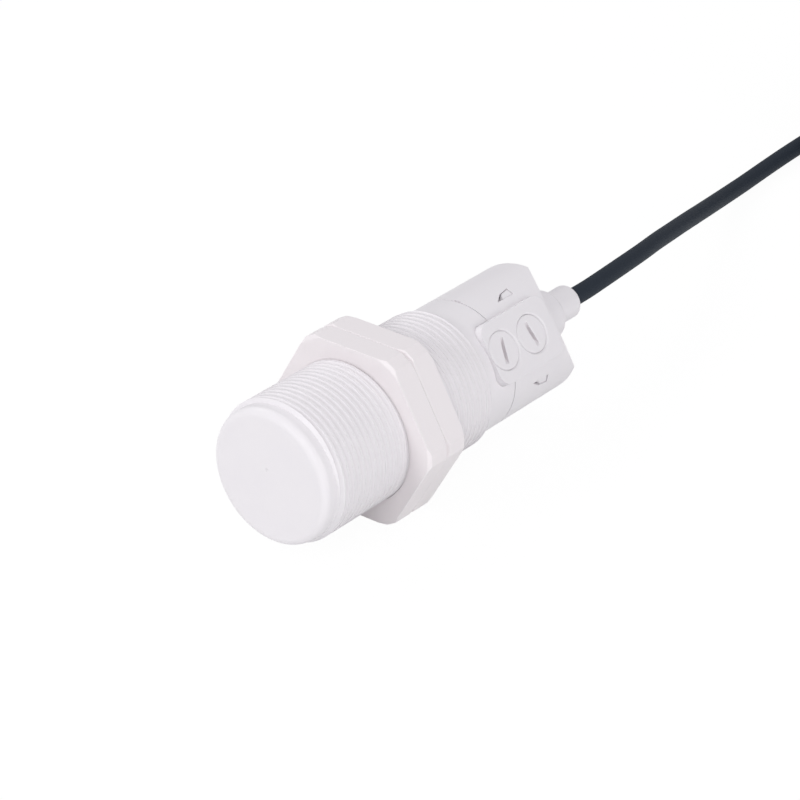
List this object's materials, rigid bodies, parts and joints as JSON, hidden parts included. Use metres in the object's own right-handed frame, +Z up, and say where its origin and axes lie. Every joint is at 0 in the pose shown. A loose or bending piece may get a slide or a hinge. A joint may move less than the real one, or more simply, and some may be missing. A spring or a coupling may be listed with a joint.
{
  "type": "capacitive proximity sensor",
  "caption": "White plastic capacitive proximity sensor: threaded barrel with closed sensing face, hexagon nuts, slotted screw plugs over its trimmers and a dark cable.",
  "frame": {"origin": "middle of the sensor without its cable, on the floor that the nuts stand on", "axes": "+X along the barrel from the sensing face to the cable, +Z up"},
  "size_m": [0.2801, 0.0644, 0.036],
  "materials": {
    "white_plastic": "smooth, slightly waxy",
    "nut_plastic": "smooth, a little warmer than the housing",
    "seal_rubber": "matt",
    "trimmer_blue": "satin",
    "rotor_white": "satin",
    "board_green": "satin solder mask",
    "chip_black": "matt moulded",
    "tantalum_yellow": "satin",
    "ceramic_tan": "satin",
    "resistor_black": "satin",
    "led_yellow": "clear tinted",
    "copper": "bare copper",
    "shield_brass": "rolled",
    "carrier_grey": "matt moulded",
    "tinned_metal": "tinned",
    "resin_brown": "cast",
    "cable_black": "matt sheath",
    "core_brown": "satin",
    "core_blue": "satin",
    "core_black": "satin",
    "tie_black": "satin"
  },
  "bodies": {
    "sensor": {"barrel": "white_plastic", "rear_cap": "white_plastic", "sensitivity_trimmer": "trimmer_blue", "delay_trimmer": "trimmer_blue", "circuit_board": "board_green", "oscillator_chip": "chip_black", "comparator_chip": "chip_black", "output_transistor": "chip_black", "protection_diodes": "chip_black", "supply_capacitor": "tantalum_yellow", "ceramic_capacitors": "ceramic_tan", "resistors": "resistor_black", "status_led": "led_yellow", "sensing_electrode": "copper", "guard_ring": "copper", "electrode_carrier": "carrier_grey", "shield_plate": "shield_brass", "electrode_pin": "tinned_metal", "potting_resin": "resin_brown", "cable_gland": "white_plastic", "cable_seal": "seal_rubber", "bend_sleeve": "white_plastic", "cable_clamp": "tinned_metal", "cable_inner_end": "cable_black", "inner_brown_core": "core_brown", "inner_blue_core": "core_blue", "inner_black_core": "core_black", "cable_run": "cable_black", "cable_coil": "cable_black", "cable_tail": "cable_black", "brown_core": "core_brown", "blue_core": "core_blue", "black_core": "core_black", "tinned_tips": "tinned_metal", "coil_tie": "tie_black"},
    "front_nut": {"front_nut": "nut_plastic"},
    "rear_nut": {"rear_nut": "nut_plastic"},
    "sensitivity_seal": {"sensitivity_seal": "seal_rubber"},
    "sensitivity_plug": {"sensitivity_plug": "white_plastic"},
    "delay_seal": {"delay_seal": "seal_rubber"},
    "delay_plug": {"delay_plug": "white_plastic"},
    "sensitivity_rotor": {"sensitivity_rotor": "rotor_white"},
    "delay_rotor": {"delay_rotor": "rotor_white"}
  },
  "joints": [
    {"name": "front_nut_travel", "type": "slide", "parent": "sensor", "child": "front_nut", "axis": [-1, 0, 0], "range_m": [0, 0.0195]},
    {"name": "rear_nut_travel", "type": "slide", "parent": "sensor", "child": "rear_nut", "axis": [1, 0, 0], "range_m": [0, 0.015]},
    {"name": "sensitivity_plug_rise", "type": "slide", "parent": "sensor", "child": "sensitivity_seal", "axis": [0, -0.8387, 0.5446], "range_m": [0, 0.0021]},
    {"name": "sensitivity_plug_turn", "type": "hinge", "parent": "sensitivity_seal", "child": "sensitivity_plug", "pos_m": [0.0095, -0.01216, 0.0259], "axis": [0, -0.8387, 0.5446], "range_deg": [0, 1008]},
    {"name": "delay_plug_rise", "type": "slide", "parent": "sensor", "child": "delay_seal", "axis": [0, -0.8387, 0.5446], "range_m": [0, 0.0021]},
    {"name": "delay_plug_turn", "type": "hinge", "parent": "delay_seal", "child": "delay_plug", "pos_m": [0.0186, -0.01216, 0.0259], "axis": [0, -0.8387, 0.5446], "range_deg": [0, 1008]},
    {"name": "sensitivity_adjust", "type": "hinge", "parent": "sensor", "child": "sensitivity_rotor", "pos_m": [0.0095, -0.00696, 0.02252], "axis": [0, -0.8387, 0.5446], "range_deg": [-135, 135]},
    {"name": "delay_adjust", "type": "hinge", "parent": "sensor", "child": "delay_rotor", "pos_m": [0.0186, -0.00696, 0.02252], "axis": [0, -0.8387, 0.5446], "range_deg": [-135, 135]}
  ]
}
